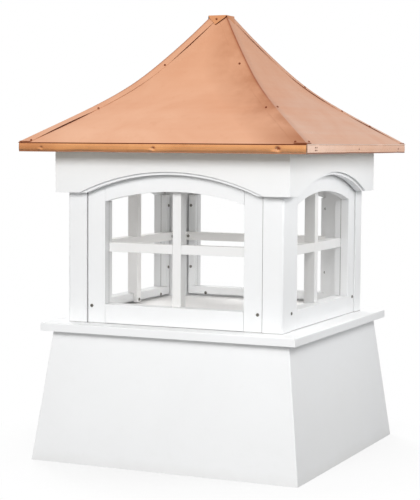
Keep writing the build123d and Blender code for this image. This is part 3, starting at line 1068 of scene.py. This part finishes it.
class CupolaApexCap(bpy.types.Operator):
    """Fold the thin square cap over the apex, with a pointed tab down each side"""
    bl_idname = "cupola.apex_cap"
    bl_label = "Apex Cap"

    SHARES = (0.15, 0.3, 0.45, 0.6, 0.75, 0.88, 0.95, 0.99, 1.0)       # rows down a tab
    COLUMNS = 9
    BEND = 0.0008                 # height of the rounded bend at the plate's edge
    INSET = 0.0004                # how far the bend stays inside the plate's half width
    TIP_LIFT = 0.0017             # how far a tab's tip stands above the panels
    PRESS = 0.0022                # how far a tab's sides are pressed down
    SHEET = 0.0005
    # Painted shade on the cap's sides and undersides.
    TAB_SHADE = 0.45

    def execute(self, context):
        sheet = context.scene.cupola_sheet
        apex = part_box("roof_cap")[1].z
        half, reach = sheet.plate_half, sheet.tab_reach
        tip = roof_profile()(reach) + self.TIP_LIFT
        wide_end = half - self.INSET
        rows = [(half - self.BEND, half - self.BEND, apex),
                (wide_end, half - self.INSET / 2, apex - self.BEND / 4),
                (wide_end, half, apex - self.BEND)]
        for share in self.SHARES:
            narrow = 0.01 * math.sqrt(1.001 - share) if share >= 0.9 else wide_end * (1 - 0.97 * share)
            narrow = min(narrow, wide_end * (1 - 0.93 * share))
            drop = (tip - apex + self.BEND) * share
            rows.append((narrow, half + (reach - half) * share, apex - self.BEND + drop))
        bm = bmesh.new()
        plate = []
        for k in range(4):
            plate += self.tab(bm, rows, half, reach, side_turn(k))
        bmesh.ops.remove_doubles(bm, verts=bm.verts, dist=0.00001)
        corners = {v for v in plate if v.is_valid}
        bm.faces.new(sorted(corners, key=lambda v: math.atan2(v.co.y, v.co.x)))
        bmesh.ops.recalc_face_normals(bm, faces=bm.faces)
        bmesh.ops.solidify(bm, geom=bm.faces[:], thickness=self.SHEET)
        bmesh.ops.recalc_face_normals(bm, faces=bm.faces)
        layer = painted_shade_layer(bm)
        # Painted shade on every face that does not look up.
        for face in bm.faces:
            for loop in face.loops:
                loop[layer] = 0.0 if face.normal.z > 0.3 else self.TAB_SHADE
        rise = apex - max(v.co.z for v in bm.verts)
        bmesh.ops.translate(bm, vec=(sheet.cap_drift, 0.4 * sheet.cap_drift, rise), verts=bm.verts)
        mesh = mesh_from(bm, "folded_cap", [material("cap_copper")])
        smooth_curves(mesh, 40.0)
        piece = link_piece("folded_cap", mesh)
        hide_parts("roof_cap")
        return {"FINISHED"}

    def tab(self, bm, rows, half, reach, turn):
        """One tab's faces, from rows of (half width, out, z); returns its edge of the level plate."""
        across = [2 * j / (self.COLUMNS - 1) - 1 for j in range(self.COLUMNS)]
        grid = []
        for wide, out, z in rows:
            press = self.PRESS * (1.0 - (out - half) / (reach - half)) if out > half else 0.0
            grid.append([bm.verts.new(turn @ Vector((wide * a, -out, z - press * a * a))) for a in across])
        for first, second in zip(grid, grid[1:]):
            for j in range(self.COLUMNS - 1):
                bm.faces.new((first[j], first[j + 1], second[j + 1], second[j]))
        return grid[0][:-1]


class CupolaWindowBars(bpy.types.Operator):
    """Make the half-lapped cross of bars in each window"""
    bl_idname = "cupola.window_bars"
    bl_label = "Window Bars"

    def execute(self, context):
        bars = context.scene.cupola_bars
        opening, outer_y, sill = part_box("window_rail_front")[1]
        stop_reach, stop_y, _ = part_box("window_stops_front")[1]
        inner_y = outer_y + bars.depth
        middle_y = (outer_y + inner_y) / 2
        half, fit = bars.width / 2, bars.fit
        edge = opening + bars.side_lap
        right_end = [
            (half + fit, outer_y), (opening - fit, outer_y), (opening - fit, stop_y + fit),
            (stop_reach + fit, stop_y + fit), (stop_reach + fit, outer_y + fit), (edge, outer_y + fit),
            (edge, inner_y)]
        left_end = [(-x, y) for x, y in right_end[::-1]]
        level = right_end + left_end + [(-half - fit, middle_y), (half + fit, middle_y)]
        head = bars.crown + bars.head_lap
        bottom = sill - bars.foot_lap
        mid_low, mid_high = bars.mid_height - half, bars.mid_height + half
        upright = [
            (bottom, inner_y), (bottom, stop_y + fit), (sill + fit, stop_y + fit), (sill + fit, outer_y),
            (head, outer_y), (head, inner_y), (mid_high + fit, inner_y),
            (mid_high + fit, middle_y), (mid_low - fit, middle_y), (mid_low - fit, inner_y)]
        for k, side in enumerate(SIDES):
            name = "window_cross_" + side
            turn = side_turn(k)
            # Near bars take the darker white, painted shade; far bars the brighter, painted light.
            finish = "bar_vinyl" if side in ("front", "right") else "far_bar_vinyl"
            bm = bmesh.new()
            add_prism(bm, level, (mid_low, mid_high), lambda u, v, w: turn @ Vector((u, v, w)))
            add_prism(bm, upright, (-half, half), lambda u, v, w: turn @ Vector((w, v, u)))
            piece = link_piece(name, mesh_from(bm, name, [material(finish)]))
            ease_edges(piece, bars.ease)
        return {"FINISHED"}


class CupolaBoardScrews(bpy.types.Operator):
    """Set the screws of frames, stops and bars"""
    bl_idname = "cupola.board_screws"
    bl_label = "Board Screws"

    # Places on the front, as distances from its middle and heights.
    FRAME = ((-0.207, 0.359), (0.2065, 0.359))
    STOPS = ((-0.1854, 0.414), (-0.1854, 0.573), (0.1854, 0.414), (0.1854, 0.573),
             (-0.142, 0.3475), (0.142, 0.3475))
    LEVEL_BAR_END = 0.188
    UPRIGHT_BAR_HEAD = 0.645
    BELOW_SILL = 0.0155

    def execute(self, context):
        bars = context.scene.cupola_bars
        rail_low, rail_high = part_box("window_rail_front")
        stop_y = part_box("window_stops_front")[1].y
        inner_y = rail_high.y + bars.depth
        bar_places = ((-self.LEVEL_BAR_END, bars.mid_height), (self.LEVEL_BAR_END, bars.mid_height),
                      (0.0, rail_high.z - self.BELOW_SILL), (0.0, self.UPRIGHT_BAR_HEAD))
        outward, inward = Vector((0, -1, 0)), Vector((0, 1, 0))
        front = [(Vector((x, rail_low.y, z)), outward) for x, z in self.FRAME]
        front += [(Vector((x, stop_y, z)), inward) for x, z in self.STOPS]
        front += [(Vector((x, inner_y, z)), inward) for x, z in bar_places]
        places = []
        for k in range(4):
            turn = side_turn(k)
            places += [(turn @ p, turn @ n) for p, n in front]
        size = context.scene.cupola_fasteners.screw_head
        fasteners("board_screws", screw_head_mesh(), places, size, "plated_screw", 11)
        return {"FINISHED"}


class CupolaRoofScrews(bpy.types.Operator):
    """Set the copper screws along the hips and in the cap, and the rivets of the fascia"""
    bl_idname = "cupola.roof_screws"
    bl_label = "Roof Screws and Rivets"

    # Screws on the front and back, then on the ends, as distances along a side and out from the axis.
    FRONT_SCREWS = ((-0.0948, 0.115), (-0.2078, 0.232), (-0.3205, 0.3440),
                    (0.0949, 0.1144), (0.2087, 0.2311), (0.3215, 0.3440))
    CAP_SCREW_OUT = 0.0292
    END_SCREWS = ((-0.2140, 0.2291), (-0.322, 0.3440), (0.1453, 0.1578), (0.2123, 0.2302), (0.2625, 0.2857))
    # Rivets of the end strips, as distances along a side and heights.
    RIVETS = ((-0.2988, 0.7205), (-0.2988, 0.7265), (-0.2892, 0.7205), (-0.2892, 0.7265), (-0.009, 0.7225),
              (0.2935, 0.7225))
    OUTSIDE = 0.5                 # distance from the axis that rays at the fascia start from

    def execute(self, context):
        settings = context.scene.cupola_fasteners
        pieces = bpy.data.objects
        front_screws = (*self.FRONT_SCREWS, (context.scene.cupola_sheet.cap_drift, self.CAP_SCREW_OUT))
        skin = surface_of(*[pieces["folded_hip_" + corner] for corner in CORNERS], pieces["folded_cap"])
        places = []
        for k in range(4):
            turn = side_turn(k)
            for along, out in (front_screws, self.END_SCREWS)[k % 2]:
                places.append(self.seat(skin, turn @ Vector((along, -out, SKY)), DOWN))
        fasteners("roof_screws", screw_head_mesh(), places, settings.roof_head,
                  "copper_screw", 23)
        skin = surface_of(pieces["copper_fascia"])
        places = []
        for k in (1, 3):
            turn = side_turn(k)
            for along, z in self.RIVETS:
                start = turn @ Vector((along, -self.OUTSIDE, z))
                places.append(self.seat(skin, start, turn @ Vector((0, 1, 0))))
        fasteners("fascia_rivets", rivet_head_mesh(), places, settings.rivet_head,
                  "dark_rivet", 31)
        return {"FINISHED"}

    def seat(self, skin, start, toward):
        """Place and outward direction of a fastener where a ray meets the copper."""
        point, normal, _, _ = skin.ray_cast(start, toward)
        if point is None:
            raise RuntimeError("a fastener misses the copper")
        return point, normal if normal.dot(toward) < 0 else -normal


class CupolaStudio(bpy.types.Operator):
    """Build the pale floor, the soft lamps and the camera"""
    bl_idname = "cupola.studio"
    bl_label = "Studio"

    LAMP_TARGET = Vector((0, 0, 0.55))
    # Place and width of each softbox.
    SOFTBOXES = {
        "key": ((0.2, -3.22, 1.8), 0.9),
        "fill": ((0.85, -1.6, 1.35), 0.6),
        "side": ((0.98, -0.05, 0.95), 0.4),
        "rear": ((-2.0, 2.05, 1.9), 1.4),
        "edge": ((1.9, 2.6, 1.6), 1.2),
    }
    CAMERA_PLACE = (1.4506, -3.2892, 0.7379)
    CAMERA_AHEAD = (-0.40884722, 0.9097435, -0.07218531)
    CAMERA_ROLL = -0.3724         # degrees
    CAMERA_LENS = 107.78          # mm on a 36 mm sensor
    # The room that the copper mirrors, as linear colours.
    ROOM = (0.97, 0.97, 0.97)
    COOL_BACK = (0.92, 0.97, 1.0)
    WARM_FLOOR, WARM_FRONT = (0.50, 0.34, 0.17), (1.0, 0.86, 0.58)
    LEFT_WALL, RIGHT_WALL = (0.78, 0.78, 0.78), (0.72, 0.65, 0.58)
    WHITE = (1.0, 1.0, 1.0)

    def execute(self, context):
        scene = context.scene
        stage = scene.cupola_stage
        scene.view_settings.view_transform = "Standard"
        self.floor(stage)
        self.world(scene, stage)
        for name, (place, size) in self.SOFTBOXES.items():
            self.lamp(name + "_softbox", place, size, getattr(stage, name))
        self.camera(scene)
        return {"FINISHED"}

    def floor(self, stage):
        """Pale floor that keeps the shadow near the cupola and turns quite white away from it."""
        bm = bmesh.new()
        bmesh.ops.create_grid(bm, x_segments=12, y_segments=12, size=stage.floor_size / 2)
        paint = bpy.data.materials.new("floor_paint")
        floor = bpy.data.objects.new("studio_floor", mesh_from(bm, "studio_floor", [paint]))
        bpy.context.scene.collection.objects.link(floor)
        paint.use_nodes = True
        paint.node_tree.nodes.clear()
        g = Graph(paint.node_tree)
        seen = g.node("ShaderNodeLightPath").outputs["Is Camera Ray"]
        where = g.node("ShaderNodeTexCoord").outputs["Object"]
        mottled = g.ramp(g.noise(where, 3.0, 3.0), 0.3, 0.7, 0.80, 0.84)
        mottled = g.times(mottled, g.ramp(seen, 0.0, 1.0, stage.floor_bounce, 1.0))
        matt = g.node("ShaderNodeBsdfDiffuse", links={"Color": g.grey(mottled)})
        glow = g.node("ShaderNodeEmission", {"Color": (1, 1, 1, 1), "Strength": 1.0})
        away = g.node("ShaderNodeVectorMath", links={0: where}, operation="LENGTH").outputs["Value"]
        seamless = g.times(seen, g.ramp(away, 0.30, 0.62, 0.62, 1.0))
        mixed = g.node("ShaderNodeMixShader", links={
            0: seamless, 1: matt.outputs["BSDF"], 2: glow.outputs["Emission"]})
        g.node("ShaderNodeOutputMaterial", links={"Surface": mixed.outputs["Shader"]})

    def world(self, scene, stage):
        """Even light for the boards, and a warm and cool room that only the copper mirrors."""
        world = bpy.data.worlds.new("studio_world")
        scene.world = world
        world.use_nodes = True
        world.node_tree.nodes.clear()
        g = Graph(world.node_tree)
        seen = g.node("ShaderNodeLightPath").outputs
        toward = g.node("ShaderNodeTexCoord").outputs["Generated"]
        side, depth, height = g.parts(toward)
        even = g.ramp(height, 0.25, 0.9, stage.ambient, stage.ambient * 0.62)
        front_left = g.node("ShaderNodeVectorMath", {1: (-0.41, -0.91, 0.0)}, {0: toward},
                            operation="DOT_PRODUCT")
        low = g.ramp(height, 0.1, 0.6, 1.0, 0.0)
        ahead = g.times(g.ramp(front_left.outputs["Value"], -0.2, 0.8), low)
        behind = g.ramp(depth, 0.3, 0.8)
        middle = g.times(g.ramp(height, 0.05, 0.25), g.ramp(height, 0.5, 0.75, 1.0, 0.0))
        warm = g.blend(g.ramp(height, -0.28, 0.10), self.WARM_FLOOR, self.WARM_FRONT)
        wall = g.blend(g.ramp(side, -0.15, 0.25), self.LEFT_WALL, self.RIGHT_WALL)
        mirrored = g.blend(ahead, self.ROOM, warm)
        mirrored = g.blend(g.times(behind, low), mirrored, self.COOL_BACK)
        mirrored = g.blend(g.times(behind, middle), mirrored, wall)
        shown = g.blend(seen["Is Camera Ray"], mirrored, self.WHITE)
        flat = g.most(seen["Is Camera Ray"], g.most(seen["Is Glossy Ray"], seen["Is Transmission Ray"]))
        lit = g.blend(flat, g.grey(even), shown)
        back = g.node("ShaderNodeBackground", {"Strength": 1.0}, {"Color": lit})
        g.node("ShaderNodeOutputWorld", links={"Surface": back.outputs["Background"]})

    def lamp(self, name, place, size, watts):
        data = bpy.data.lights.new(name, "AREA")
        data.shape = "SQUARE"
        data.size = size
        data.energy = watts
        lamp = bpy.data.objects.new(name, data)
        lamp.location = place
        lamp.visible_glossy = False
        lamp.rotation_mode = "QUATERNION"
        lamp.rotation_quaternion = (self.LAMP_TARGET - Vector(place)).to_track_quat("-Z", "Y")
        bpy.context.scene.collection.objects.link(lamp)

    def camera(self, scene):
        data = bpy.data.cameras.new("studio_camera")
        data.sensor_width = 36.0
        data.sensor_fit = "AUTO"
        data.lens = self.CAMERA_LENS
        data.clip_start = 0.1
        data.clip_end = 60.0
        ahead = Vector(self.CAMERA_AHEAD).normalized()
        right = ahead.cross(Vector((0, 0, 1))).normalized()
        up = right.cross(ahead)
        roll = math.radians(self.CAMERA_ROLL)
        level = right * math.cos(roll) - up * math.sin(roll)
        upright = right * math.sin(roll) + up * math.cos(roll)
        basis = Matrix((level, upright, -ahead)).transposed().to_4x4()
        camera = bpy.data.objects.new("studio_camera", data)
        camera.matrix_world = Matrix.Translation(self.CAMERA_PLACE) @ basis
        scene.collection.objects.link(camera)
        scene.camera = camera


class CupolaPanel(bpy.types.Panel):
    """Lists the cupola's pieces and settings"""
    bl_label = "Barn Cupola"
    bl_idname = "VIEW3D_PT_cupola"
    bl_space_type = "VIEW_3D"
    bl_region_type = "UI"
    bl_category = "Cupola"

    def draw(self, context):
        for operator in OPERATORS:
            self.layout.operator(operator.bl_idname)
        for key, settings in SETTINGS.items():
            box = self.layout.box()
            group_of = getattr(context.scene, key)
            for name in settings.__annotations__:
                box.prop(group_of, name)


SETTINGS = {
    "cupola_finish": CupolaFinish,
    "cupola_bars": CupolaBars,
    "cupola_sheet": CupolaSheet,
    "cupola_fasteners": CupolaFasteners,
    "cupola_stage": CupolaStage,
}
OPERATORS = (CupolaBoards, CupolaCopper, CupolaHipStrips, CupolaFascia, CupolaApexCap, CupolaWindowBars,
             CupolaBoardScrews, CupolaRoofScrews, CupolaStudio)
CLASSES = (*SETTINGS.values(), *OPERATORS, CupolaPanel)


def register():
    for cls in CLASSES:
        bpy.utils.register_class(cls)
    for key, settings in SETTINGS.items():
        setattr(bpy.types.Scene, key, bpy.props.PointerProperty(type=settings))


def unregister():
    for key in SETTINGS:
        delattr(bpy.types.Scene, key)
    for cls in reversed(CLASSES):
        bpy.utils.unregister_class(cls)


def main():
    register()
    for operator in OPERATORS:
        family, name = operator.bl_idname.split(".")
        getattr(getattr(bpy.ops, family), name)()


if __name__ == "__main__":
    main()
